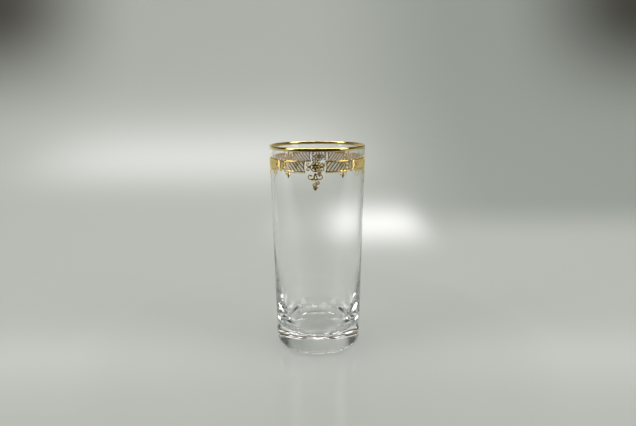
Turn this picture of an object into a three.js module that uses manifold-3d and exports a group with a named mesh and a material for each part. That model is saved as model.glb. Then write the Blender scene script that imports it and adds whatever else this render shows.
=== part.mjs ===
// Highball glass: a tall tumbler with a slight taper, a heavy clear base, a gilded lip
// and an openwork gilded frieze that is fired on to the wall below the lip.
// Millimetres, +Z up. The origin is the centre of the resting ring and the first pendant faces -Y.

import * as THREE from 'three';
import { mergeVertices } from 'three/addons/utils/BufferGeometryUtils.js';
import Module from 'manifold-3d';

const wasm = await Module();
wasm.setup();
const { degToRad, lerp } = THREE.MathUtils;

// Tumbler, outside
const GLASS_HEIGHT = 150;
const LIP_RADIUS = 34.15;
const FOOT_RADIUS = 31.4;
const HEEL_RADIUS = 5.3;
const RESTING_RING_WIDTH = 2.6;
const PUNT_DEPTH = 0.6;

// Tumbler, inside
const LIP_WALL = 1.6;
const THIN_WALL = 1.9;
const THIN_WALL_BELOW_LIP = 55;
const BASE_THICKNESS = 13.2;
const FLOOR_RADIUS = 14.5;
const FLOOR_CORNER_RADIUS = 11;
const FLOOR_CORNER_TURN = degToRad(77);
const SHAM_LOWER_EASE = 22;
const SHAM_UPPER_EASE = 26;

// Gold, on the rim and in the frieze
const GOLD_THICKNESS = 0.16;
const GOLD_CLEARANCE = 0.06;
const PATCH_GAP = 0.35;

// Rim gilding
const RIM_GOLD_OUTSIDE = 2.3;
const RIM_GOLD_INSIDE = 2.1;

// Frieze
const REPEATS = 4;
const FRIEZE_BELOW_LIP = 12.15;
const BAND_HEIGHT = 7.6;

// Scrolls: ribbon width at the mouth and at the eye, and how far a scroll winds
const SCROLL_MOUTH_WIDTH = 0.95;
const SCROLL_EYE_WIDTH = 0.65;
const SCROLL_SWEEP = degToRad(330);

// Cartouche
const ROSETTE_RADIUS = 3.5;
const ROSETTE_RING_WIDTH = 0.8;
const PETAL_COUNT = 6;
const PETAL_WIDTH = 1.6;
const CORNER_SCROLL_RADIUS = 1.6;
const CORNER_SCROLL_EYE = 0.45;
const CORNER_SCROLL_MOUTH = degToRad(-155);
const CREST_RISE = 1.7;
const CREST_LOBE_WIDTH = 1.3;
const CREST_LEAN = degToRad(48);

// Pendant
const PENDANT_LENGTH = 12;
const PENDANT_HEAD_RADIUS = 0.95;
const PENDANT_STEM_WIDTH = 0.8;
const PENDANT_SWAY = 2.2;
const WING_SPREAD = 3.3;
const WING_RADIUS = 2.5;
const WING_EYE = 0.65;
const WING_MOUTH = degToRad(165);
const TENDRIL_RADIUS = 1.35;
const TENDRIL_EYE = 0.45;
const LEFT_TENDRIL_BELOW_HEAD = 6.6;
const RIGHT_TENDRIL_BELOW_HEAD = 5.3;
const STEM_LEAF_LENGTH = 2.6;
const STEM_LEAF_WIDTH = 1.3;
const STEM_LEAF_LEAN = degToRad(70);
const STEM_LEAF_BELOW_HEAD = 3;
const BUD_LENGTH = 2.8;
const BUD_WIDTH = 1.9;
const BUD_LEAF_LENGTH = 2.3;
const BUD_LEAF_LEAN = degToRad(66);

// Reeded panels
const PANEL_RAIL = 0.95;
const PANEL_STILE = 0.75;
const REED_PITCH = 2;
const REED_WIDTH = 1.3;
const REED_LEAN = degToRad(38);

// Clasp
const CLASP_RADIUS = 4.5;
const CLASP_LOBES = 7;
const CLASP_LOBE_WIDTH = 1.9;
const CLASP_FAN = degToRad(140);
const CLASP_ROOT_ABOVE_EDGE = 0.6;
const CLASP_KNOB_RADIUS = 1;

// Drops
const DROP_FROM_CLASP = 7.1;
const DROP_LENGTH = 4.3;
const DROP_KNOB_RADIUS = 0.75;
const DROP_LEAF_WIDTH = 1.7;
const DROP_LOBE_LENGTH = 2.5;
const DROP_LOBE_WIDTH = 1.3;
const DROP_LOBE_LEAN = degToRad(68);

// Facets
const SEGMENTS_PER_REPEAT = 11;
const PUNT_STEPS = 3;
const HEEL_STEPS = 4;
const LIP_STEPS = 4;
const SHAM_STEPS = 5;
const CORNER_STEPS = 5;
const SCROLL_STEPS = 8;
const CURL_STEPS = 6;
const STEM_STEPS = 6;
const LEAF_STEPS = 3;
const LOBE_STEPS = 4;
const BEAD_SIDES = 6;
const RING_SIDES = 12;
const PANEL_END_SIDES = 20;
const PRISM_REACH = 3;
const MERGE_DISTANCE = 1e-5;

// What follows from these sizes: the tumbler
const thinWallLevel = GLASS_HEIGHT - THIN_WALL_BELOW_LIP;
const taper = Math.atan((LIP_RADIUS - FOOT_RADIUS) / GLASS_HEIGHT);
const wallRadius = (level) => FOOT_RADIUS + level * Math.tan(taper);
const heelCentre = wallRadius(HEEL_RADIUS) - HEEL_RADIUS / Math.cos(taper);
const puntRadius = heelCentre - RESTING_RING_WIDTH;
const lipRound = LIP_WALL / 2;
const lipLevel = GLASS_HEIGHT - lipRound;
const lipCentre = wallRadius(lipLevel) - lipRound;

// What follows from these sizes: the frieze, whose own axes are x along the wall and y up from its middle
const friezeLevel = GLASS_HEIGHT - FRIEZE_BELOW_LIP;
const friezeRadius = wallRadius(friezeLevel);
const repeatAngle = 2 * Math.PI / REPEATS;
const repeatWidth = repeatAngle * friezeRadius;
const bandHalf = BAND_HEIGHT / 2;
const scrollHalf = SCROLL_MOUTH_WIDTH / 2;
const cornerScrollX = ROSETTE_RADIUS + CORNER_SCROLL_RADIUS - scrollHalf;
const cornerScrollY = bandHalf - CORNER_SCROLL_RADIUS - scrollHalf;
const cartoucheReach = Math.hypot(cornerScrollX, cornerScrollY) + CORNER_SCROLL_RADIUS + scrollHalf;
const crestTop = bandHalf + CREST_RISE;
const pendantTop = -bandHalf - PATCH_GAP;
const pendantTip = pendantTop - PENDANT_LENGTH;
const dropTop = -bandHalf - PATCH_GAP;

const point = (x, y) => new THREE.Vector2(x, y);
const arc = (centre, radius, from, to, clockwise) =>
  new THREE.EllipseCurve(centre.x, centre.y, radius, radius, from, to, clockwise);

// Section of the tumbler, from the axis under the base to the axis on the floor of the cavity
function tumblerSection() {
  const punt = new THREE.QuadraticBezierCurve(
    point(0, PUNT_DEPTH),
    point(puntRadius / 2, PUNT_DEPTH),
    point(puntRadius, 0),
  );
  const heel = arc(point(heelCentre, HEEL_RADIUS), HEEL_RADIUS, -Math.PI / 2, -taper);
  const lip = arc(point(lipCentre, lipLevel), lipRound, 0, Math.PI);
  const down = -Math.PI / 2;
  const cornerCentre = point(FLOOR_RADIUS, BASE_THICKNESS + FLOOR_CORNER_RADIUS);
  const corner = arc(cornerCentre, FLOOR_CORNER_RADIUS, down + FLOOR_CORNER_TURN, down, true);
  const lipInside = point(lipCentre - lipRound, lipLevel);
  const thinPoint = point(wallRadius(thinWallLevel) - THIN_WALL, thinWallLevel);
  const cornerPoint = corner.getPoint(0);
  const downWall = thinPoint.clone().sub(lipInside).normalize();
  const upCorner = point(Math.cos(FLOOR_CORNER_TURN), Math.sin(FLOOR_CORNER_TURN));
  const sham = new THREE.CubicBezierCurve(
    thinPoint,
    thinPoint.clone().addScaledVector(downWall, SHAM_UPPER_EASE),
    cornerPoint.clone().addScaledVector(upCorner, SHAM_LOWER_EASE),
    cornerPoint,
  );
  return [
    ...punt.getPoints(PUNT_STEPS),
    ...heel.getPoints(HEEL_STEPS),
    ...lip.getPoints(LIP_STEPS),
    ...sham.getPoints(SHAM_STEPS),
    ...corner.getPoints(CORNER_STEPS).slice(1),
    point(0, BASE_THICKNESS),
  ];
}

// One face of the rim gilding, at a distance from the glass
function rimGoldFace(distance) {
  const outsideLevel = GLASS_HEIGHT - RIM_GOLD_OUTSIDE;
  const insideLevel = GLASS_HEIGHT - RIM_GOLD_INSIDE;
  return [
    point(wallRadius(outsideLevel) + distance, outsideLevel),
    ...arc(point(lipCentre, lipLevel), lipRound + distance, 0, Math.PI).getPoints(LIP_STEPS),
    point(lipCentre - lipRound - distance, insideLevel),
  ];
}

// Section of the rim gilding: a skin that wraps over the lip
function rimGoldSection() {
  const outer = rimGoldFace(GOLD_CLEARANCE + GOLD_THICKNESS);
  const inner = rimGoldFace(GOLD_CLEARANCE).reverse();
  return [...outer, ...inner, outer[0]];
}

// Section of the thin gold sleeve that every patch of the frieze is cut from
function sleeveSection() {
  const low = friezeLevel + pendantTip - PRISM_REACH;
  const high = friezeLevel + crestTop + PRISM_REACH;
  const inner = GOLD_CLEARANCE;
  const outer = GOLD_CLEARANCE + GOLD_THICKNESS;
  return [
    point(wallRadius(low) + inner, low),
    point(wallRadius(low) + outer, low),
    point(wallRadius(high) + outer, high),
    point(wallRadius(high) + inner, high),
    point(wallRadius(low) + inner, low),
  ];
}

// Turn a section about the Z axis
function revolve(section) {
  return new THREE.LatheGeometry(section, REPEATS * SEGMENTS_PER_REPEAT).rotateX(Math.PI / 2);
}

// A solid for joining and cutting, from a closed geometry
function solidOf(geometry) {
  geometry.deleteAttribute('normal');
  geometry.deleteAttribute('uv');
  const merged = mergeVertices(geometry, MERGE_DISTANCE);
  return new wasm.Manifold(new wasm.Mesh({
    numProp: 3,
    vertProperties: new Float32Array(merged.attributes.position.array),
    triVerts: new Uint32Array(merged.index.array),
  }));
}

// A geometry from a solid that has been joined and cut
function geometryOf(solid) {
  const { vertProperties, triVerts } = solid.getMesh();
  const geometry = new THREE.BufferGeometry();
  geometry.setAttribute('position', new THREE.BufferAttribute(new Float32Array(vertProperties), 3));
  geometry.setIndex(new THREE.BufferAttribute(new Uint32Array(triVerts), 1));
  geometry.computeVertexNormals();
  return geometry;
}

// An outline drawn about its own middle, raised into a prism that stands through the wall
function wallPrism(outline, place) {
  const prism = new THREE.ExtrudeGeometry(outline, { depth: 2 * PRISM_REACH, bevelEnabled: false });
  const { position } = prism.attributes;
  for (let i = 0; i < position.count; i += 1) {
    const across = friezeRadius * Math.sin(position.getX(i) / friezeRadius);
    const outward = friezeRadius - PRISM_REACH + position.getZ(i);
    position.setXYZ(i, across, -outward, friezeLevel + position.getY(i));
  }
  return solidOf(prism.rotateZ(place / friezeRadius));
}

// Outlines joined into one prism, at a place along the wall
function joined(outlines, place) {
  return outlines.map((outline) => wallPrism(outline, place)).reduce((whole, next) => whole.add(next));
}

const goldSleeve = solidOf(revolve(sleeveSection()));

// Outlines joined into one patch of gold, at a place along the wall
function goldPatch(outlines, place) {
  return geometryOf(joined(outlines, place).intersect(goldSleeve));
}

// Outline of a bead
function bead(centre, radius, sides = BEAD_SIDES) {
  return new THREE.Shape(arc(centre, radius, 0, 2 * Math.PI).getPoints(sides).slice(1));
}

// Outline of what grows from a root; lean is its turn to the right from straight up
function grown(points, root, lean) {
  return new THREE.Shape(points.map((p) => p.rotateAround(point(0, 0), -lean).add(root)));
}

// Outline of a pointed leaf
function leaf(root, length, width, lean) {
  const outline = new THREE.Shape();
  outline.quadraticCurveTo(width, length / 2, 0, length);
  outline.quadraticCurveTo(-width, length / 2, 0, 0);
  return grown(outline.getPoints(LEAF_STEPS).slice(1), root, lean);
}

// Outline of a lobe that widens from its root to a round end
function lobe(root, length, width, lean) {
  const end = arc(point(0, length - width / 2), width / 2, 0, Math.PI);
  return grown([point(0, 0), ...end.getPoints(LOBE_STEPS)], root, lean);
}

// Outline of a ribbon along a curve, from one width to another
function ribbon(curve, startWidth, endWidth, steps) {
  const left = [];
  const right = [];
  for (let i = 0; i <= steps; i += 1) {
    const t = i / steps;
    const tangent = curve.getTangent(t);
    const across = point(-tangent.y, tangent.x).multiplyScalar(lerp(startWidth, endWidth, t) / 2);
    left.push(curve.getPoint(t).add(across));
    right.unshift(curve.getPoint(t).sub(across));
  }
  return new THREE.Shape([...left, ...right]);
}

// Centre line of a scroll, which winds in from its mouth to its eye
class ScrollCurve extends THREE.Curve {
  constructor(centre, mouthRadius, eyeRadius, mouthAngle) {
    super();
    Object.assign(this, { centre, mouthRadius, eyeRadius, mouthAngle });
  }

  getPoint(t) {
    const radius = lerp(this.mouthRadius, this.eyeRadius, t);
    const angle = this.mouthAngle + SCROLL_SWEEP * t;
    return point(Math.cos(angle), Math.sin(angle)).multiplyScalar(radius).add(this.centre);
  }
}

// Outlines of a scroll that winds to the left, with a bead at its eye
function scroll(centre, mouthRadius, eyeRadius, mouthAngle, steps = SCROLL_STEPS) {
  const curve = new ScrollCurve(centre, mouthRadius, eyeRadius, mouthAngle);
  const eye = curve.getPoint(1);
  return [
    ribbon(curve, SCROLL_MOUTH_WIDTH, SCROLL_EYE_WIDTH, steps),
    bead(eye, eyeRadius),
  ];
}

// Outlines mirrored left to right, top to bottom, or both
function mirrored(outlines, sideX, sideY = 1) {
  const flip = (p) => point(p.x * sideX, p.y * sideY);
  return outlines.map((outline) => new THREE.Shape(outline.getPoints().map(flip)));
}

// Outline of an upright rectangle
function rectangle(width, height) {
  return new THREE.Shape([
    point(-width / 2, -height / 2),
    point(width / 2, -height / 2),
    point(width / 2, height / 2),
    point(-width / 2, height / 2),
  ]);
}

// Cartouche: a rosette in a ring, a scroll at each corner and a crest of three lobes
function cartouche() {
  const middle = point(0, 0);
  const ring = bead(middle, ROSETTE_RADIUS, RING_SIDES);
  ring.holes.push(bead(middle, ROSETTE_RADIUS - ROSETTE_RING_WIDTH, RING_SIDES));
  const outlines = [ring];
  const petalLength = ROSETTE_RADIUS - ROSETTE_RING_WIDTH / 2;
  for (let i = 0; i < PETAL_COUNT; i += 1) {
    outlines.push(leaf(middle, petalLength, PETAL_WIDTH, 2 * Math.PI * i / PETAL_COUNT));
  }
  const corner = point(cornerScrollX, cornerScrollY);
  const cornerScroll = scroll(corner, CORNER_SCROLL_RADIUS, CORNER_SCROLL_EYE, CORNER_SCROLL_MOUTH);
  for (const sideX of [1, -1]) {
    outlines.push(...mirrored(cornerScroll, sideX, 1), ...mirrored(cornerScroll, sideX, -1));
  }
  const crestRoot = point(0, ROSETTE_RADIUS - ROSETTE_RING_WIDTH);
  for (const side of [-1, 0, 1]) {
    outlines.push(lobe(crestRoot, crestTop - crestRoot.y, CREST_LOBE_WIDTH, side * CREST_LEAN));
  }
  return goldPatch(outlines, 0);
}

// Pendant: a swaying stem with two wings, a tendril on each side and a bud between two leaves
function pendant() {
  const head = point(0, pendantTop - PENDANT_HEAD_RADIUS);
  const budRoot = point(0, pendantTip + BUD_LENGTH);
  const stemLength = head.y - budRoot.y;
  const third = stemLength / 3;
  const stem = new THREE.CubicBezierCurve(
    head,
    point(-PENDANT_SWAY, head.y - third),
    point(PENDANT_SWAY, budRoot.y + third),
    budRoot,
  );
  const wing = scroll(point(WING_SPREAD, head.y - WING_RADIUS / 2), WING_RADIUS, WING_EYE, WING_MOUTH);
  const tendril = (root, side) => {
    const centre = point(root.x * side + TENDRIL_RADIUS, root.y);
    return mirrored(scroll(centre, TENDRIL_RADIUS, TENDRIL_EYE, Math.PI, CURL_STEPS), side);
  };
  const onStem = (belowHead) => stem.getPoint(belowHead / stemLength);
  const stemLeafRoot = onStem(STEM_LEAF_BELOW_HEAD);
  const outlines = [
    bead(head, PENDANT_HEAD_RADIUS),
    ribbon(stem, PENDANT_STEM_WIDTH, PENDANT_STEM_WIDTH, STEM_STEPS),
    leaf(budRoot, BUD_LENGTH, BUD_WIDTH, Math.PI),
    ...tendril(onStem(RIGHT_TENDRIL_BELOW_HEAD), 1),
    ...tendril(onStem(LEFT_TENDRIL_BELOW_HEAD), -1),
  ];
  for (const side of [1, -1]) {
    outlines.push(
      ...mirrored(wing, side),
      leaf(stemLeafRoot, STEM_LEAF_LENGTH, STEM_LEAF_WIDTH, Math.PI - side * STEM_LEAF_LEAN),
      leaf(budRoot, BUD_LEAF_LENGTH, STEM_LEAF_WIDTH, Math.PI - side * BUD_LEAF_LEAN),
    );
  }
  return goldPatch(outlines, 0);
}

// Reeded panel: slanting reeds in a frame whose ends hollow round the cartouche and the clasp,
// to the right (1) or left (-1) of the cartouche
function reededPanel(side) {
  const cartoucheHollow = cartoucheReach + PATCH_GAP;
  const claspHollow = CLASP_RADIUS + PATCH_GAP;
  const near = Math.sqrt(cartoucheHollow ** 2 - bandHalf ** 2);
  const far = repeatWidth / 2 - Math.sqrt(claspHollow ** 2 - bandHalf ** 2);
  const middle = (near + far) / 2;
  const width = far - near;
  const placed = (outlines) => joined(mirrored(outlines, side), side * middle);
  const hollowed = (height, inset) => placed([rectangle(width, height)]).subtract(placed([
    bead(point(-middle, 0), cartoucheHollow + inset, PANEL_END_SIDES),
    bead(point(repeatWidth / 2 - middle, 0), claspHollow + inset, PANEL_END_SIDES),
  ]));
  const slotHeight = BAND_HEIGHT - 2 * PANEL_RAIL;
  const slant = slotHeight * Math.tan(REED_LEAN);
  const slots = [];
  for (let x = -width / 2 - slant; x < width / 2; x += REED_PITCH) {
    const right = x + REED_PITCH - REED_WIDTH;
    slots.push(new THREE.Shape([
      point(x, -slotHeight / 2),
      point(right, -slotHeight / 2),
      point(right + slant, slotHeight / 2),
      point(x + slant, slotHeight / 2),
    ]));
  }
  const openings = placed(slots).intersect(hollowed(slotHeight, PANEL_STILE));
  return geometryOf(hollowed(BAND_HEIGHT, 0).subtract(openings).intersect(goldSleeve));
}

// Clasp: a shell of round lobes that fan out from a knob, half-way to the next cartouche
function clasp() {
  const root = point(0, CLASP_ROOT_ABOVE_EDGE - bandHalf);
  const outlines = [bead(root, CLASP_KNOB_RADIUS)];
  for (let i = 0; i < CLASP_LOBES; i += 1) {
    const lean = lerp(-CLASP_FAN / 2, CLASP_FAN / 2, i / (CLASP_LOBES - 1));
    const aside = root.y * Math.sin(lean);
    const length = Math.sqrt(CLASP_RADIUS ** 2 - aside ** 2) - root.y * Math.cos(lean);
    outlines.push(lobe(root, length, CLASP_LOBE_WIDTH, lean));
  }
  return goldPatch(outlines, repeatWidth / 2);
}

// Drop: a pointed leaf between two lobes on a knob, to the right (1) or left (-1) of the clasp
function drop(side) {
  const root = point(0, dropTop - DROP_KNOB_RADIUS);
  return goldPatch([
    bead(root, DROP_KNOB_RADIUS),
    leaf(root, DROP_LENGTH - DROP_KNOB_RADIUS, DROP_LEAF_WIDTH, Math.PI),
    lobe(root, DROP_LOBE_LENGTH, DROP_LOBE_WIDTH, Math.PI - DROP_LOBE_LEAN),
    lobe(root, DROP_LOBE_LENGTH, DROP_LOBE_WIDTH, Math.PI + DROP_LOBE_LEAN),
  ], repeatWidth / 2 + side * DROP_FROM_CLASP);
}

// Clear glass
function glassFinish() {
  return new THREE.MeshStandardMaterial({
    color: 0xe4e9e4, roughness: 0.03, metalness: 0, transparent: true, opacity: 0.35,
  });
}

// Bright fired gold
function goldFinish() {
  return new THREE.MeshStandardMaterial({ color: 0xcaa24c, roughness: 0.22, metalness: 1 });
}

// A named sub-part
function subPart(name, geometry, finish) {
  const mesh = new THREE.Mesh(geometry, finish);
  mesh.name = name;
  return mesh;
}

// The tumbler with its gold in place
const highball = new THREE.Group();
highball.add(subPart('glass_tumbler', revolve(tumblerSection()), glassFinish()));
highball.add(subPart('rim_gilding', revolve(rimGoldSection()), goldFinish()));

const patches = {
  cartouche: cartouche(),
  pendant: pendant(),
  reeded_panel_left: reededPanel(-1),
  reeded_panel_right: reededPanel(1),
  clasp: clasp(),
  drop_left: drop(-1),
  drop_right: drop(1),
};
for (let i = 0; i < REPEATS; i += 1) {
  const repeat = new THREE.Group();
  repeat.rotation.z = i * repeatAngle;
  for (const [name, geometry] of Object.entries(patches)) {
    repeat.add(subPart(`${name}_${i + 1}`, geometry, goldFinish()));
  }
  highball.add(repeat);
}

export default highball;
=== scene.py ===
from math import asin, atan, cos, hypot, pi, radians, sin, sqrt, tan

import bpy
from mathutils import Matrix, Vector


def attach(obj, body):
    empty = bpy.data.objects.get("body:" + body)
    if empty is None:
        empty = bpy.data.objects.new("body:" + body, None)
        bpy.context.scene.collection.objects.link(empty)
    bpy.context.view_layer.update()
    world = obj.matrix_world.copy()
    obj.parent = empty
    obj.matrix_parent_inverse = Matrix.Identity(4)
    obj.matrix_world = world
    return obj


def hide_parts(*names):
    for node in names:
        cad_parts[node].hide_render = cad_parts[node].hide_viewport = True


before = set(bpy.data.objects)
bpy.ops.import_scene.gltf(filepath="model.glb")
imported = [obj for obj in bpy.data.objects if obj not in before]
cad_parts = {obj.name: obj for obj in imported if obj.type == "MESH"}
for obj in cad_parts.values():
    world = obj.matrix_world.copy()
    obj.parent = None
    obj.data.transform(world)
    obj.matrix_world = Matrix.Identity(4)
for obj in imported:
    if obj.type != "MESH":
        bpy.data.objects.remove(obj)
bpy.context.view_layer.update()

scene = bpy.context.scene
scene.view_settings.view_transform = "Standard"
scene.cycles.caustics_refractive = False
scene.cycles.caustics_reflective = False
scene.cycles.max_bounces = 28
scene.cycles.transmission_bounces = 28
scene.cycles.glossy_bounces = 16


# Camera
# A short lens stands close to the glass, a little above its rim, and looks down at it.
# It stands slightly to the right of the first pendant, so the pendant shows left of the middle.
MM = 0.001
IMAGE_WIDTH = 636
FOCAL_PIXELS = 511.0
AXIS_PIXELS_LEFT = 0.35
SENSOR_WIDTH = 36.0
CAMERA_DISTANCE = 369.0 * MM
CAMERA_HEIGHT = 178.95 * MM
CAMERA_TILT = radians(12.13)
CAMERA_ROLL = radians(-0.32)
CAMERA_TURN = radians(2.4)

stage_turn = Matrix.Rotation(CAMERA_TURN, 4, "Z")
lens = bpy.data.cameras.new("camera")
lens.sensor_fit = "HORIZONTAL"
lens.sensor_width = SENSOR_WIDTH
lens.lens = SENSOR_WIDTH * FOCAL_PIXELS / IMAGE_WIDTH
lens.shift_x = AXIS_PIXELS_LEFT / IMAGE_WIDTH
camera = bpy.data.objects.new("camera", lens)
gaze = Vector((0, cos(CAMERA_TILT), -sin(CAMERA_TILT))).to_track_quat("-Z", "Y").to_matrix()
gaze = gaze @ Matrix.Rotation(CAMERA_ROLL, 3, "Z")
camera.matrix_world = (stage_turn @ Matrix.Translation((0, -CAMERA_DISTANCE, CAMERA_HEIGHT))
                       @ gaze.to_4x4())
scene.collection.objects.link(camera)
scene.camera = camera


# Glass tumbler
# One piece of clear blown glass: a slightly tapered wall that thickens downwards into a heavy base.
# The lip is fire-polished round. Where the thick glass cooled, the heel keeps shallow scallops,
# the corner of the floor six rings and the inside of the wall faint ripples.
GLASS_HEIGHT = 150.0
LIP_RADIUS = 34.15
FOOT_RADIUS = 31.4
HEEL_RADIUS = 5.3
RESTING_RING_WIDTH = 2.6
PUNT_DEPTH = 0.6
LIP_WALL = 1.6
THIN_WALL = 1.9
THIN_WALL_LEVEL = 95.0
BASE_THICKNESS = 13.2
FLOOR_RADIUS = 14.5
FLOOR_CORNER_RADIUS = 11.0
FLOOR_CORNER_TURN = radians(77)
SHAM_LOWER_EASE = 22.0
SHAM_UPPER_EASE = 26.0
GLASS_SEGMENTS = 320
RIPPLE_HEIGHT = 0.011
RIPPLE_TOP = 100.0
RIPPLE_TOP_FADE = 50.0
RIPPLE_FOOT = 23.0
RIPPLE_FOOT_FADE = 8.0
RISING_RIPPLE = 3.3
FALLING_RIPPLE = 2.7
FINE_RIPPLE = 2.1
HEEL_LUMP = 0.35
HEEL_LUMP_FADE = 1.5
HEEL_WAVES = 17
FLOOR_RINGS = 6
RING_STEPS = 16
GLASS_TINT = (0.996, 1.0, 0.997, 1)
GLASS_SHADOW = (0.93, 0.94, 0.93, 1)
GLASS_IOR = 1.52

taper = atan((LIP_RADIUS - FOOT_RADIUS) / GLASS_HEIGHT)
heel_centre = FOOT_RADIUS + HEEL_RADIUS * tan(taper) - HEEL_RADIUS / cos(taper)
lip_round = LIP_WALL / 2
lip_level = GLASS_HEIGHT - lip_round


def wall_radius(level):
    return FOOT_RADIUS + level * tan(taper)


lip_centre = wall_radius(lip_level) - lip_round


def arc(centre, radius, start, end, steps):
    turns = [start + (end - start) * i / steps for i in range(steps + 1)]
    return [(centre[0] + radius * cos(a), centre[1] + radius * sin(a)) for a in turns]


def bezier(controls, steps):
    points = []
    for i in range(steps + 1):
        t = i / steps
        level = list(controls)
        while len(level) > 1:
            level = [(p[0] + (q[0] - p[0]) * t, p[1] + (q[1] - p[1]) * t) for p, q in zip(level, level[1:])]
        points.append(level[0])
    return points


def line(start, end, steps):
    return bezier([start, end], steps)


def tumbler_section():
    punt_radius = heel_centre - RESTING_RING_WIDTH
    punt = bezier([(0, PUNT_DEPTH), (punt_radius / 2, PUNT_DEPTH), (punt_radius, 0)], 24)
    ring = line((punt_radius, 0), (heel_centre, 0), 4)
    heel = arc((heel_centre, HEEL_RADIUS), HEEL_RADIUS, -pi / 2, -taper, 20)
    wall = line(heel[-1], (wall_radius(lip_level), lip_level), 60)
    lip = arc((lip_centre, lip_level), lip_round, 0, pi, 12)
    thin = (wall_radius(THIN_WALL_LEVEL) - THIN_WALL, THIN_WALL_LEVEL)
    upper = line(lip[-1], thin, 24)
    corner = []
    corner_steps = FLOOR_RINGS * RING_STEPS
    facet = FLOOR_CORNER_TURN / FLOOR_RINGS
    for i in range(corner_steps + 1):
        turn = FLOOR_CORNER_TURN * (1 - i / corner_steps)
        reach = FLOOR_CORNER_RADIUS * cos(facet / 2) / cos(turn % facet - facet / 2)
        corner.append((FLOOR_RADIUS + reach * sin(turn), BASE_THICKNESS + FLOOR_CORNER_RADIUS - reach * cos(turn)))
    down = (Vector(thin) - Vector(lip[-1])).normalized() * SHAM_UPPER_EASE
    up = Vector((cos(FLOOR_CORNER_TURN), sin(FLOOR_CORNER_TURN))) * SHAM_LOWER_EASE
    sham = bezier([thin, Vector(thin) + down, Vector(corner[0]) + up, corner[0]], 190)
    floor = line(corner[-1], (0, BASE_THICKNESS), 16)
    section = punt
    for run in (ring, heel, wall, lip, upper, sham, corner, floor):
        section = section + [(p[0], p[1]) for p in run[1:]]
    return section


def faded(value):
    return max(0.0, min(1.0, value))


def ripple(radius, level, angle):
    if level < HEEL_RADIUS:
        down = 1 - level / HEEL_RADIUS
        slope = asin(down)
        strength = faded(1.5 * down) * faded((radius - heel_centre) / HEEL_LUMP_FADE)
        scallops = abs(sin(HEEL_WAVES * angle + 0.9 * sin(3 * angle)))
        lumps = 0.5 + 1.5 * scallops + 0.5 * sin(47 * angle + 2 * sin(5 * angle))
        depth = HEEL_LUMP * strength * lumps
        return -depth * cos(slope), depth * sin(slope)
    if radius > wall_radius(level) - LIP_WALL / 2:
        return 0.0, 0.0
    strength = faded((RIPPLE_TOP - level) / RIPPLE_TOP_FADE) * faded((level - RIPPLE_FOOT) / RIPPLE_FOOT_FADE)
    rising = sin(2 * pi * level / RISING_RIPPLE + 37 * angle + 1.1 * sin(4 * angle))
    falling = sin(2 * pi * level / FALLING_RIPPLE - 43 * angle + 0.8 * sin(5 * angle + 1))
    fine = sin(2 * pi * level / FINE_RIPPLE + 59 * angle + 2)
    return RIPPLE_HEIGHT * strength * (0.5 * rising + 0.5 * falling + 0.3 * fine), 0.0


def mesh_object(name, points, faces):
    mesh = bpy.data.meshes.new(name)
    mesh.from_pydata([(x * MM, y * MM, z * MM) for x, y, z in points], [], faces)
    mesh.shade_smooth()
    piece = bpy.data.objects.new(name, mesh)
    scene.collection.objects.link(piece)
    return piece


def turned(name, section, segments, wave=None, closed=False):
    points, faces, rings = [], [], []
    for radius, level in section:
        count = 1 if radius < 1e-6 else segments
        rings.append([len(points) + k for k in range(count)])
        for k in range(count):
            angle = 2 * pi * k / segments
            out, up = wave(radius, level, angle) if wave else (0, 0)
            points.append(((radius + out) * cos(angle), (radius + out) * sin(angle), level + up))
    if closed:
        rings.append(rings[0])
    for low, high in zip(rings, rings[1:]):
        for k in range(segments):
            n = (k + 1) % segments
            if len(low) == 1:
                faces.append((low[0], high[n], high[k]))
            elif len(high) == 1:
                faces.append((low[k], low[n], high[0]))
            else:
                faces.append((low[k], low[n], high[n], high[k]))
    return mesh_object(name, points, faces)


def new_material(name):
    material = bpy.data.materials.new(name)
    material.use_nodes = True
    nodes = material.node_tree.nodes
    return material, nodes, material.node_tree.links.new, nodes["Principled BSDF"]


def add_node(nodes, kind, **values):
    node = nodes.new(kind)
    for key, value in values.items():
        if hasattr(node, key):
            setattr(node, key, value)
        else:
            node.inputs[key.replace("_", " ")].default_value = value
    return node


clear_glass, nodes, link, glass_shader = new_material("clear_glass")
glass_shader.inputs["Base Color"].default_value = GLASS_TINT
glass_shader.inputs["Transmission Weight"].default_value = 1.0
glass_shader.inputs["IOR"].default_value = GLASS_IOR
glass_shader.inputs["Roughness"].default_value = 0.0
place = add_node(nodes, "ShaderNodeTexCoord")
sway = add_node(nodes, "ShaderNodeTexNoise", Scale=45.0, Detail=1.0)
bump = add_node(nodes, "ShaderNodeBump", Strength=0.03, Distance=0.002)
link(place.outputs["Object"], sway.inputs["Vector"])
link(sway.outputs["Fac"], bump.inputs["Height"])
link(bump.outputs["Normal"], glass_shader.inputs["Normal"])
path = add_node(nodes, "ShaderNodeLightPath")
shade = add_node(nodes, "ShaderNodeBsdfTransparent", Color=GLASS_SHADOW)
mix = add_node(nodes, "ShaderNodeMixShader")
link(path.outputs["Is Shadow Ray"], mix.inputs[0])
link(glass_shader.outputs[0], mix.inputs[1])
link(shade.outputs[0], mix.inputs[2])
link(mix.outputs[0], nodes["Material Output"].inputs["Surface"])

tumbler = turned("clear_tumbler", tumbler_section(), GLASS_SEGMENTS, ripple)
tumbler.data.materials.append(clear_glass)
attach(tumbler, "root")
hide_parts("glass_tumbler")


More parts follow.
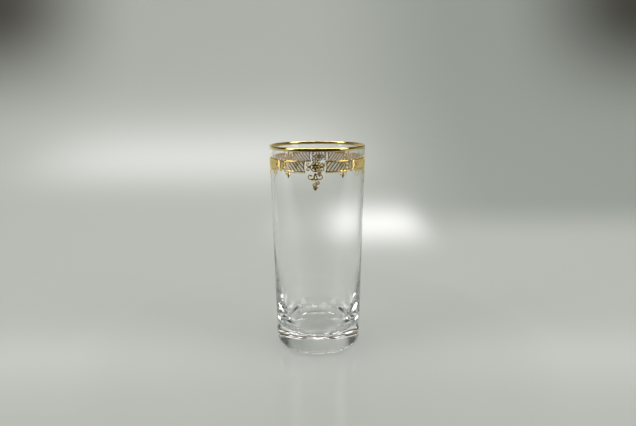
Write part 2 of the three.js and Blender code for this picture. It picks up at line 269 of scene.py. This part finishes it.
# Rim gilding
# A line of liquid gold brushed over the lip, outside and inside, and fired on to the glass.
# It is a skin that follows the round of the lip and thins out at both edges.
RIM_GOLD_OUTSIDE = 2.3
RIM_GOLD_INSIDE = 2.1
RIM_GOLD_LIFT = 0.16
RIM_EDGE_LIFT = 0.096
RIM_EDGE_ROUND = 0.1
RIM_EDGE_REACH = 0.3
GOLD_ROOT = -0.04
GOLD_DEEP = (0.86, 0.62, 0.18, 1)
GOLD_BRIGHT = (0.96, 0.77, 0.33, 1)

fired_gold, nodes, link, gold_shader = new_material("fired_gold")
gold_shader.inputs["Metallic"].default_value = 1.0
place = add_node(nodes, "ShaderNodeTexCoord")
cloud = add_node(nodes, "ShaderNodeTexNoise", Scale=260.0, Detail=3.0)
tone = add_node(nodes, "ShaderNodeValToRGB")
tone.color_ramp.elements[0].color = GOLD_DEEP
tone.color_ramp.elements[0].position = 0.3
tone.color_ramp.elements[1].color = GOLD_BRIGHT
tone.color_ramp.elements[1].position = 0.7
polish = add_node(nodes, "ShaderNodeMapRange", To_Min=0.05, To_Max=0.14)
grain = add_node(nodes, "ShaderNodeTexNoise", Scale=4200.0, Detail=2.0)
bump = add_node(nodes, "ShaderNodeBump", Strength=0.06, Distance=0.0001)
link(place.outputs["Object"], cloud.inputs["Vector"])
link(place.outputs["Object"], grain.inputs["Vector"])
link(cloud.outputs["Fac"], tone.inputs["Fac"])
link(cloud.outputs["Fac"], polish.inputs["Value"])
link(grain.outputs["Fac"], bump.inputs["Height"])
link(tone.outputs["Color"], gold_shader.inputs["Base Color"])
link(polish.outputs["Result"], gold_shader.inputs["Roughness"])
link(bump.outputs["Normal"], gold_shader.inputs["Normal"])


def rim_gold_section():
    outside = GLASS_HEIGHT - RIM_GOLD_OUTSIDE
    inside = GLASS_HEIGHT - RIM_GOLD_INSIDE
    lip = (lip_centre, lip_level)
    inner_radius = lip_centre - lip_round
    outer_face = [
        (wall_radius(outside) + GOLD_ROOT, outside),
        (wall_radius(outside + RIM_EDGE_ROUND) + RIM_EDGE_LIFT, outside + RIM_EDGE_ROUND),
        (wall_radius(outside + RIM_EDGE_REACH) + RIM_GOLD_LIFT, outside + RIM_EDGE_REACH),
        *arc(lip, lip_round + RIM_GOLD_LIFT, 0, pi, 16),
        (inner_radius - RIM_GOLD_LIFT, inside + RIM_EDGE_REACH),
        (inner_radius - RIM_EDGE_LIFT, inside + RIM_EDGE_ROUND),
        (inner_radius - GOLD_ROOT, inside),
    ]
    return outer_face + arc(lip, lip_round + GOLD_ROOT, pi, 0, 16)


rim = turned("rim_line", rim_gold_section(), GLASS_SEGMENTS, closed=True)
rim.data.materials.append(fired_gold)
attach(rim, "root")
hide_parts("rim_gilding")


# Cartouches
# Raised gold, piped on the wall at each quarter turn: a rosette in a ring with four corner scrolls.
# Each stroke is crowned like a bead of paste, and a crest of three lobes stands on the ring.
REPEATS = 4
FRIEZE_BELOW_LIP = 12.15
BAND_HEIGHT = 7.6
PATCH_GAP = 0.35
STROKE_EDGE = 0.05
STROKE_CROWN = 0.26
STROKE_FULL_WIDTH = 0.8
STROKE_CREASE = radians(50)
NARROWEST = 0.10
SCROLL_MOUTH_WIDTH = 0.95
SCROLL_EYE_WIDTH = 0.65
SCROLL_SWEEP = radians(330)
ROSETTE_RADIUS = 3.5
ROSETTE_RING_WIDTH = 0.8
PETAL_COUNT = 6
PETAL_WIDTH = 1.6
CORNER_SCROLL_RADIUS = 1.6
CORNER_SCROLL_EYE = 0.45
CORNER_SCROLL_MOUTH = radians(-155)
CREST_RISE = 1.7
CREST_LOBE_WIDTH = 1.3
CREST_LEAN = radians(48)
UNDERSIDE_DEEP = (0.72, 0.40, 0.12, 1)
UNDERSIDE_BRIGHT = (0.92, 0.58, 0.21, 1)

frieze_level = GLASS_HEIGHT - FRIEZE_BELOW_LIP
frieze_radius = wall_radius(frieze_level)
repeat_width = 2 * pi / REPEATS * frieze_radius
band_half = BAND_HEIGHT / 2
scroll_half = SCROLL_MOUTH_WIDTH / 2

ROUND = [(-1, 0), (-0.75, 0.66), (-0.35, 0.94), (0, 1), (0.35, 0.94), (0.75, 0.66), (1, 0)]
RIDGE = [(-1, 0), (-0.8, 0.35), (-0.45, 0.68), (0, 1), (0.45, 0.68), (0.8, 0.35), (1, 0)]

gold_back, nodes, link, back_shader = new_material("gold_underside")
back_shader.inputs["Metallic"].default_value = 0.2
back_shader.inputs["Roughness"].default_value = 0.45
place = add_node(nodes, "ShaderNodeTexCoord")
cloud = add_node(nodes, "ShaderNodeTexNoise", Scale=500.0, Detail=3.0)
tone = add_node(nodes, "ShaderNodeValToRGB")
tone.color_ramp.elements[0].color = UNDERSIDE_DEEP
tone.color_ramp.elements[1].color = UNDERSIDE_BRIGHT
link(place.outputs["Object"], cloud.inputs["Vector"])
link(cloud.outputs["Fac"], tone.inputs["Fac"])
link(tone.outputs["Color"], back_shader.inputs["Base Color"])


def stroke(path, widths, crown=ROUND, closed=False):
    points, faces = [], []
    count = len(path)
    loop = [(-1, None)] + crown + [(1, None)]
    for i, (x, y) in enumerate(path):
        before = path[(i - 1) % count] if closed else path[max(i - 1, 0)]
        after = path[(i + 1) % count] if closed else path[min(i + 1, count - 1)]
        along = (Vector(after) - Vector(before)).normalized()
        width = max(widths[i], NARROWEST)
        rise = (STROKE_CROWN - STROKE_EDGE) * min(1.0, width / STROKE_FULL_WIDTH) ** 0.7
        for side, height in loop:
            lift = GOLD_ROOT if height is None else STROKE_EDGE + rise * height
            points.append((x - along.y * side * width / 2, y + along.x * side * width / 2, lift))
    m = len(loop)
    for i in range(count if closed else count - 1):
        a, b = i * m, (i + 1) % count * m
        for j in range(m):
            k = (j + 1) % m
            faces.append((a + j, b + j, b + k, a + k))
    if not closed:
        faces.append(tuple(range(m)))
        faces.append(tuple(reversed(range((count - 1) * m, count * m))))
    return points, faces


def spread(root, length, lean, steps, width_at, crown=ROUND):
    path, widths = [], []
    for i in range(steps + 1):
        t = (1 - cos(pi * i / steps)) / 2
        path.append((root[0] + sin(lean) * length * t, root[1] + cos(lean) * length * t))
        widths.append(width_at(t))
    return stroke(path, widths, crown)


def bead(centre, radius, steps=12):
    root = (centre[0], centre[1] - radius)
    return spread(root, 2 * radius, 0, steps, lambda t: 4 * radius * sqrt(t * (1 - t)))


def leaf(root, length, width, lean, steps=12):
    return spread(root, length, lean, steps, lambda t: 4 * t * (1 - t) * width, RIDGE)


def lobe(root, length, width, lean, steps=14):
    shoulder = 1 - width / (2 * length)

    def width_at(t):
        if t < shoulder:
            return width * t / shoulder
        return width * sqrt(max(0, 1 - ((t - shoulder) / (1 - shoulder)) ** 2))

    return spread(root, length, lean, steps, width_at, RIDGE)


def scroll(centre, mouth_radius, eye_radius, mouth_angle, side=(1, 1), steps=40):
    path, widths = [], []
    for i in range(steps + 1):
        t = i / steps
        radius = mouth_radius + (eye_radius - mouth_radius) * t
        angle = mouth_angle + SCROLL_SWEEP * t
        path.append(((centre[0] + radius * cos(angle)) * side[0], (centre[1] + radius * sin(angle)) * side[1]))
        widths.append(SCROLL_MOUTH_WIDTH + (SCROLL_EYE_WIDTH - SCROLL_MOUTH_WIDTH) * t)
    return [stroke(path, widths), bead(path[-1], eye_radius)]


def on_wall(x, y, lift):
    angle = x / frieze_radius - pi / 2
    level = frieze_level + y
    radius = wall_radius(level) + lift
    return radius * cos(angle), radius * sin(angle), level


def fused(name, shells, place):
    pieces = []
    for points, faces in shells:
        wrapped = [on_wall(place + x, y, lift) for x, y, lift in points]
        pieces.append(mesh_object(name, wrapped, faces))
    others = bpy.data.collections.new(name + "_strokes")
    for piece in pieces[1:]:
        others.objects.link(piece)
    join = pieces[0].modifiers.new("join", "BOOLEAN")
    join.operation = "UNION"
    join.solver = "MANIFOLD"
    join.operand_type = "COLLECTION"
    join.collection = others
    seen = bpy.context.evaluated_depsgraph_get()
    mesh = bpy.data.meshes.new_from_object(pieces[0].evaluated_get(seen))
    for piece in pieces:
        bpy.data.objects.remove(piece)
    bpy.data.collections.remove(others)
    mesh.materials.clear()
    mesh.materials.append(fired_gold)
    mesh.materials.append(gold_back)
    for face in mesh.polygons:
        outward = Vector((face.center.x, face.center.y, 0)).normalized()
        face.material_index = 1 if face.normal.dot(outward) < -0.5 else 0
        face.use_smooth = True
    mesh.set_sharp_from_angle(angle=STROKE_CREASE)
    return mesh


def repeated(kind, mesh, node):
    for i in range(REPEATS):
        piece = bpy.data.objects.new(f"{kind}_{i + 1}", mesh.copy())
        piece.data.transform(Matrix.Rotation(2 * pi * i / REPEATS, 4, "Z"))
        scene.collection.objects.link(piece)
        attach(piece, "root")
        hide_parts(f"{node}_{i + 1}")


corner_x = ROSETTE_RADIUS + CORNER_SCROLL_RADIUS - scroll_half
corner_y = band_half - CORNER_SCROLL_RADIUS - scroll_half
ring_middle = ROSETTE_RADIUS - ROSETTE_RING_WIDTH / 2
ring_path = arc((0, 0), ring_middle, 0, 2 * pi, 56)[:-1]
cartouche_strokes = [stroke(ring_path, [ROSETTE_RING_WIDTH] * len(ring_path), closed=True)]
for i in range(PETAL_COUNT):
    cartouche_strokes.append(leaf((0, 0), ring_middle, PETAL_WIDTH, 2 * pi * i / PETAL_COUNT))
for side in ((1, 1), (-1, 1), (1, -1), (-1, -1)):
    cartouche_strokes += scroll((corner_x, corner_y), CORNER_SCROLL_RADIUS, CORNER_SCROLL_EYE,
                                CORNER_SCROLL_MOUTH, side)
crest_root = (0, ROSETTE_RADIUS - ROSETTE_RING_WIDTH)
for side in (-1, 0, 1):
    cartouche_strokes.append(lobe(crest_root, band_half + CREST_RISE - crest_root[1], CREST_LOBE_WIDTH,
                                  side * CREST_LEAN))
repeated("rosette_cartouche", fused("rosette_cartouche", cartouche_strokes, 0), "cartouche")


# Pendants
# The long hanging sprays of raised gold, one below each cartouche, piped in the same way.
# A swaying stem carries two wings, a tendril on each side, two leaves and a bud at its tip.
PENDANT_LENGTH = 12.0
PENDANT_HEAD_RADIUS = 0.95
PENDANT_STEM_WIDTH = 0.8
PENDANT_SWAY = 2.2
WING_SPREAD = 3.3
WING_RADIUS = 2.5
WING_EYE = 0.65
WING_MOUTH = radians(165)
TENDRIL_RADIUS = 1.35
TENDRIL_EYE = 0.45
LEFT_TENDRIL_BELOW_HEAD = 6.6
RIGHT_TENDRIL_BELOW_HEAD = 5.3
STEM_LEAF_LENGTH = 2.6
STEM_LEAF_WIDTH = 1.3
STEM_LEAF_LEAN = radians(70)
STEM_LEAF_BELOW_HEAD = 3.0
BUD_LENGTH = 2.8
BUD_WIDTH = 1.9
BUD_LEAF_LENGTH = 2.3
BUD_LEAF_LEAN = radians(66)
STEM_STEPS = 50

pendant_top = -band_half - PATCH_GAP
head = (0, pendant_top - PENDANT_HEAD_RADIUS)
bud_root = (0, pendant_top - PENDANT_LENGTH + BUD_LENGTH)
stem_length = head[1] - bud_root[1]
third = stem_length / 3
stem = bezier([head, (-PENDANT_SWAY, head[1] - third), (PENDANT_SWAY, bud_root[1] + third), bud_root], STEM_STEPS)
pendant_strokes = [
    bead(head, PENDANT_HEAD_RADIUS),
    stroke(stem, [PENDANT_STEM_WIDTH] * len(stem)),
    leaf(bud_root, BUD_LENGTH, BUD_WIDTH, pi),
]
for side, drop in ((1, RIGHT_TENDRIL_BELOW_HEAD), (-1, LEFT_TENDRIL_BELOW_HEAD)):
    root = stem[round(drop / stem_length * STEM_STEPS)]
    centre = (root[0] * side + TENDRIL_RADIUS, root[1])
    pendant_strokes += scroll(centre, TENDRIL_RADIUS, TENDRIL_EYE, pi, (side, 1))
leaf_root = stem[round(STEM_LEAF_BELOW_HEAD / stem_length * STEM_STEPS)]
for side in (1, -1):
    pendant_strokes += scroll((WING_SPREAD, head[1] - WING_RADIUS / 2), WING_RADIUS, WING_EYE, WING_MOUTH, (side, 1))
    pendant_strokes.append(leaf(leaf_root, STEM_LEAF_LENGTH, STEM_LEAF_WIDTH, pi - side * STEM_LEAF_LEAN))
    pendant_strokes.append(leaf(bud_root, BUD_LEAF_LENGTH, STEM_LEAF_WIDTH, pi - side * BUD_LEAF_LEAN))
repeated("hanging_spray", fused("hanging_spray", pendant_strokes, 0), "pendant")


# Reeded panels
# Raised gold frames between the cartouches and the clasps, whose ends hollow round the motif next to them.
# Slanting reeds fill them, with a fine thread of gold on the bare glass between each two.
# A row of small pearls runs along each rail.
CLASP_RADIUS = 4.5
PANEL_RAIL = 0.95
PANEL_STILE = 0.75
RAIL_OVERLAP = 0.25
REED_PITCH = 2.6
REED_WIDTH = 1.25
REED_LEAN = radians(38)
THREAD_WIDTH = 0.30
PEARL_RADIUS = 0.42
PEARL_PITCH = 1.5
PEARL_OUTSIDE_RAIL = 0.252

cartouche_reach = hypot(corner_x, corner_y) + CORNER_SCROLL_RADIUS + scroll_half
cartouche_hollow = cartouche_reach + PATCH_GAP
clasp_hollow = CLASP_RADIUS + PATCH_GAP
near = sqrt(cartouche_hollow ** 2 - band_half ** 2)
far = repeat_width / 2 - sqrt(clasp_hollow ** 2 - band_half ** 2)
panel_middle = (near + far) / 2


def panel_ends(y):
    left = sqrt((cartouche_hollow + PANEL_STILE / 2) ** 2 - y * y)
    right = repeat_width / 2 - sqrt((clasp_hollow + PANEL_STILE / 2) ** 2 - y * y)
    return left, right


def panel_strokes(side):
    rail_y = band_half - PANEL_RAIL / 2
    strokes = []

    def add(path, width):
        placed = [((x - panel_middle) * side, y) for x, y in path]
        strokes.append(stroke(placed, [width] * len(placed)))

    for y in (rail_y, -rail_y):
        left, right = panel_ends(y)
        add(line((left - RAIL_OVERLAP, y), (right + RAIL_OVERLAP, y), 40), PANEL_RAIL)
    for end in (0, 1):
        levels = [rail_y * (2 * i / 20 - 1) for i in range(21)]
        add([(panel_ends(y)[end], y) for y in levels], PANEL_STILE)
    slant = tan(REED_LEAN)
    foot = near - 2 * rail_y * slant
    thread = False
    while foot < far:
        run = [(foot + (y + rail_y) * slant, y) for y in (rail_y * (2 * i / 30 - 1) for i in range(31))]
        run = [p for p in run if panel_ends(p[1])[0] <= p[0] <= panel_ends(p[1])[1]]
        if len(run) > 4:
            add(run, THREAD_WIDTH if thread else REED_WIDTH * cos(REED_LEAN))
        foot += REED_PITCH / 2
        thread = not thread
    pearl_y = band_half + PEARL_OUTSIDE_RAIL
    for y in (pearl_y, -pearl_y):
        left, right = panel_ends(rail_y)
        pearls = int((right - left) / PEARL_PITCH)
        for i in range(pearls + 1):
            x = (left + right) / 2 + (i - pearls / 2) * PEARL_PITCH
            strokes.append(bead(((x - panel_middle) * side, y), PEARL_RADIUS, 8))
    return strokes


for side, word in ((-1, "left"), (1, "right")):
    panel = fused("reeds_" + word, panel_strokes(side), side * panel_middle)
    repeated("reeds_" + word, panel, "reeded_panel_" + word)


# Clasps
# Shells of raised gold half-way between the cartouches, which close the run of the panels.
# Seven ridged lobes fan out from a round knob at the lower edge of the frieze.
CLASP_LOBES = 7
CLASP_LOBE_WIDTH = 1.9
CLASP_FAN = radians(140)
CLASP_ROOT_ABOVE_EDGE = 0.6
CLASP_KNOB_RADIUS = 1.0

clasp_root = (0, CLASP_ROOT_ABOVE_EDGE - band_half)
clasp_strokes = [bead(clasp_root, CLASP_KNOB_RADIUS)]
for i in range(CLASP_LOBES):
    lean = CLASP_FAN * (i / (CLASP_LOBES - 1) - 0.5)
    aside = clasp_root[1] * sin(lean)
    length = sqrt(CLASP_RADIUS ** 2 - aside ** 2) - clasp_root[1] * cos(lean)
    clasp_strokes.append(lobe(clasp_root, length, CLASP_LOBE_WIDTH, lean))
repeated("shell_clasp", fused("shell_clasp", clasp_strokes, repeat_width / 2), "clasp")


# Drops
# Small trefoils of raised gold that hang below the frieze on either side of each clasp.
# Each is a pointed leaf between two round lobes, on a knob close under the panel's lower rail.
DROP_FROM_CLASP = 7.1
DROP_LENGTH = 4.3
DROP_KNOB_RADIUS = 0.75
DROP_LEAF_WIDTH = 1.7
DROP_LOBE_LENGTH = 2.5
DROP_LOBE_WIDTH = 1.3
DROP_LOBE_LEAN = radians(68)

drop_root = (0, pendant_top - DROP_KNOB_RADIUS)
drop_strokes = [
    bead(drop_root, DROP_KNOB_RADIUS),
    leaf(drop_root, DROP_LENGTH - DROP_KNOB_RADIUS, DROP_LEAF_WIDTH, pi),
    lobe(drop_root, DROP_LOBE_LENGTH, DROP_LOBE_WIDTH, pi - DROP_LOBE_LEAN),
    lobe(drop_root, DROP_LOBE_LENGTH, DROP_LOBE_WIDTH, pi + DROP_LOBE_LEAN),
]
for side, word in ((-1, "left"), (1, "right")):
    drop = fused("trefoil_" + word, drop_strokes, repeat_width / 2 + side * DROP_FROM_CLASP)
    repeated("trefoil_" + word, drop, "drop_" + word)


# Floor and backdrop
# One pale grey sheet of acrylic, polished where the glass stands, that sweeps up behind it.
# Pools of light are painted into its colour behind the glass and before it, and painted shade darkens it on its
# right and at its top.
# Painted shade also darkens it in front of what the camera sees and in the far upper corners.
SWEEP_FRONT = -1.2
SWEEP_CURVE = ((0.05, 0), (0.42, 0), (0.72, 0.08), (0.78, 0.5), (0.8, 1.6))
SWEEP_HALF = 1.2
SWEEP_COLOUR = (0.50, 0.515, 0.475, 1)
SHADE_COLOUR = (0.040, 0.033, 0.026, 1)
FRONT_SHADE_AHEAD = (0.115, 0.36)
CORNER_SHADE = 0.9
CORNER_SHADE_ASIDE = (0.33, 0.62)
CORNER_SHADE_UP = (0.12, 0.36)
SHADED_SWEEP_COLOUR = (0.345, 0.372, 0.335, 1)
RIGHT_SHADE_ASIDE = (-0.05, 0.28)
RIGHT_SHADE_BEHIND = (0.24, 0.37)
TOP_SHADE = 0.25
TOP_SHADE_BEHIND = (0.52, 0.62)
SHEET_ROUGHNESS = (0.11, 0.14)
SHINE = 0.5
SHINE_REACH = (0.09, 0.18)
POOL_COLOUR = (1.0, 1.0, 0.98, 1)
RIGHT_POOL = ((0.076, 0.296), (0.054, 0.042), 1.0)
MIDDLE_POOL = ((0.0, 0.29), (0.055, 0.045), 0.18)
LEFT_POOL = ((-0.2, 0.474), (0.22, 0.046), 0.50)
FRONT_POOL = ((0.0, -0.032), (0.6, 0.032), 0.145)

sweep_line = [(SWEEP_FRONT, 0), (-0.3, 0), (0, 0), *bezier(SWEEP_CURVE, 64)]
sweep_points, sweep_faces = [], []
for y, z in sweep_line:
    sweep_points += [(-SWEEP_HALF / MM, y / MM, z / MM), (SWEEP_HALF / MM, y / MM, z / MM)]
for i in range(len(sweep_line) - 1):
    sweep_faces.append((2 * i, 2 * i + 1, 2 * i + 3, 2 * i + 2))
sweep = mesh_object("sweep", sweep_points, sweep_faces)
sweep.matrix_world = stage_turn
acrylic, nodes, link, acrylic_shader = new_material("pale_acrylic")
place = add_node(nodes, "ShaderNodeTexCoord")
parts = add_node(nodes, "ShaderNodeSeparateXYZ")
link(place.outputs["Object"], parts.inputs[0])


def math_node(nodes, link, operation, *values):
    node = nodes.new("ShaderNodeMath")
    node.operation = operation
    for socket, value in zip(node.inputs, values):
        if isinstance(value, (int, float)):
            socket.default_value = value
        else:
            link(value, socket)
    return node.outputs[0]


def smooth(nodes, link, value, low, high):
    node = nodes.new("ShaderNodeMapRange")
    node.interpolation_type = "SMOOTHSTEP"
    link(value, node.inputs["Value"])
    node.inputs["From Min"].default_value = low
    node.inputs["From Max"].default_value = high
    return node.outputs["Result"]


def blended(nodes, link, share, first, second):
    node = nodes.new("ShaderNodeMixRGB")
    for socket, value in zip(node.inputs, (share, first, second)):
        if isinstance(value, tuple):
            socket.default_value = value
        else:
            link(value, socket)
    return node.outputs[0]


# Painted shade: the sheet's colour turns near-black in front of what the camera sees and in the far upper corners,
# standing in for the shade of a dim room.
ahead = math_node(nodes, link, "MULTIPLY", parts.outputs["Y"], -1.0)
aside = math_node(nodes, link, "ABSOLUTE", parts.outputs["X"])
corner_shade = math_node(nodes, link, "MULTIPLY", smooth(nodes, link, aside, *CORNER_SHADE_ASIDE),
                         smooth(nodes, link, parts.outputs["Z"], *CORNER_SHADE_UP))
corner_shade = math_node(nodes, link, "MULTIPLY", corner_shade, CORNER_SHADE)
shade = math_node(nodes, link, "MAXIMUM", smooth(nodes, link, ahead, *FRONT_SHADE_AHEAD), corner_shade)
# Painted shade: the sheet's colour is darkened on its right behind the glass, and at the top of the sweep, where
# less light falls.
right_shade = math_node(nodes, link, "MULTIPLY", smooth(nodes, link, parts.outputs["X"], *RIGHT_SHADE_ASIDE),
                 smooth(nodes, link, parts.outputs["Y"], *RIGHT_SHADE_BEHIND))
colour = blended(nodes, link, right_shade, SWEEP_COLOUR, SHADED_SWEEP_COLOUR)
top_shade = math_node(nodes, link, "MULTIPLY", smooth(nodes, link, parts.outputs["Y"], *TOP_SHADE_BEHIND), TOP_SHADE)
colour = blended(nodes, link, top_shade, colour, SHADED_SWEEP_COLOUR)
colour = blended(nodes, link, shade, colour, SHADE_COLOUR)
# Painted light: soft pools of near-white are mixed into the sheet's colour where lamplight would pool on it.
for centre, reach, strength in (RIGHT_POOL, MIDDLE_POOL, LEFT_POOL, FRONT_POOL):
    squares = []
    for axis in range(2):
        offset = math_node(nodes, link, "SUBTRACT", parts.outputs[axis], centre[axis])
        offset = math_node(nodes, link, "DIVIDE", offset, reach[axis])
        squares.append(math_node(nodes, link, "MULTIPLY", offset, offset))
    squares[0] = math_node(nodes, link, "MULTIPLY", squares[0], squares[0])
    total = math_node(nodes, link, "ADD", *squares)
    glow = math_node(nodes, link, "EXPONENT", math_node(nodes, link, "MULTIPLY", total, -0.5))
    colour = blended(nodes, link, math_node(nodes, link, "MULTIPLY", glow, strength), colour, POOL_COLOUR)
link(colour, acrylic_shader.inputs["Base Color"])
cloud = add_node(nodes, "ShaderNodeTexNoise", Scale=3.0, Detail=1.0)
gloss = add_node(nodes, "ShaderNodeMapRange", To_Min=SHEET_ROUGHNESS[0], To_Max=SHEET_ROUGHNESS[1])
link(place.outputs["Object"], cloud.inputs["Vector"])
link(cloud.outputs["Fac"], gloss.inputs["Value"])
link(gloss.outputs["Result"], acrylic_shader.inputs["Roughness"])
away = add_node(nodes, "ShaderNodeVectorMath", operation="LENGTH")
shine = add_node(nodes, "ShaderNodeMapRange", To_Min=SHINE, To_Max=0.0)
link(place.outputs["Object"], away.inputs[0])
link(smooth(nodes, link, away.outputs["Value"], *SHINE_REACH), shine.inputs["Value"])
link(shine.outputs["Result"], acrylic_shader.inputs["Specular IOR Level"])
sweep.data.materials.append(acrylic)


# Lights
# Two broad soft boxes hang over the glass, and a tall one stands at each side, towards the camera.
# The room is dim, and darkest behind the camera.
ROOM_COLOUR = (0.20, 0.205, 0.20, 1)
ROOM_FRONT = (0.03, 0.03, 0.028, 1)
ROOM_FRONT_REACH = (-0.6, 0.2)
TOP_BOX_SIZE = (0.55, 1.0)
TOP_BOX_POWER = 9.7
TOP_BOX_AIM = (0, 0.1, 0)
SIDE_BOX_SIZE = (0.5, 1.0)
SIDE_BOX_POWER = 4.6
SIDE_BOX_AIM = (0, 0, 0.1)


def soft_box(name, place, aim, size, power):
    lamp = bpy.data.lights.new(name, "AREA")
    lamp.shape = "RECTANGLE"
    lamp.size, lamp.size_y = size
    lamp.energy = power
    box = bpy.data.objects.new(name, lamp)
    look = (Vector(aim) - Vector(place)).to_track_quat("-Z", "Y").to_matrix().to_4x4()
    box.matrix_world = stage_turn @ Matrix.Translation(place) @ look
    scene.collection.objects.link(box)


soft_box("top_left_box", (-0.5, 0.15, 1.5), TOP_BOX_AIM, TOP_BOX_SIZE, TOP_BOX_POWER)
soft_box("top_right_box", (0.5, 0.15, 1.5), TOP_BOX_AIM, TOP_BOX_SIZE, TOP_BOX_POWER)
soft_box("left_box", (-1.1, -0.45, 0.55), SIDE_BOX_AIM, SIDE_BOX_SIZE, SIDE_BOX_POWER)
soft_box("right_box", (1.1, -0.5, 0.55), SIDE_BOX_AIM, SIDE_BOX_SIZE, SIDE_BOX_POWER)

room = bpy.data.worlds.new("room")
scene.world = room
room.use_nodes = True
nodes, link = room.node_tree.nodes, room.node_tree.links.new
place = add_node(nodes, "ShaderNodeTexCoord")
parts = add_node(nodes, "ShaderNodeSeparateXYZ")
link(place.outputs["Generated"], parts.inputs[0])
ahead = math_node(nodes, link, "MULTIPLY", parts.outputs["Y"], -1.0)
front = smooth(nodes, link, ahead, *ROOM_FRONT_REACH)
link(blended(nodes, link, front, ROOM_COLOUR, ROOM_FRONT), nodes["Background"].inputs["Color"])
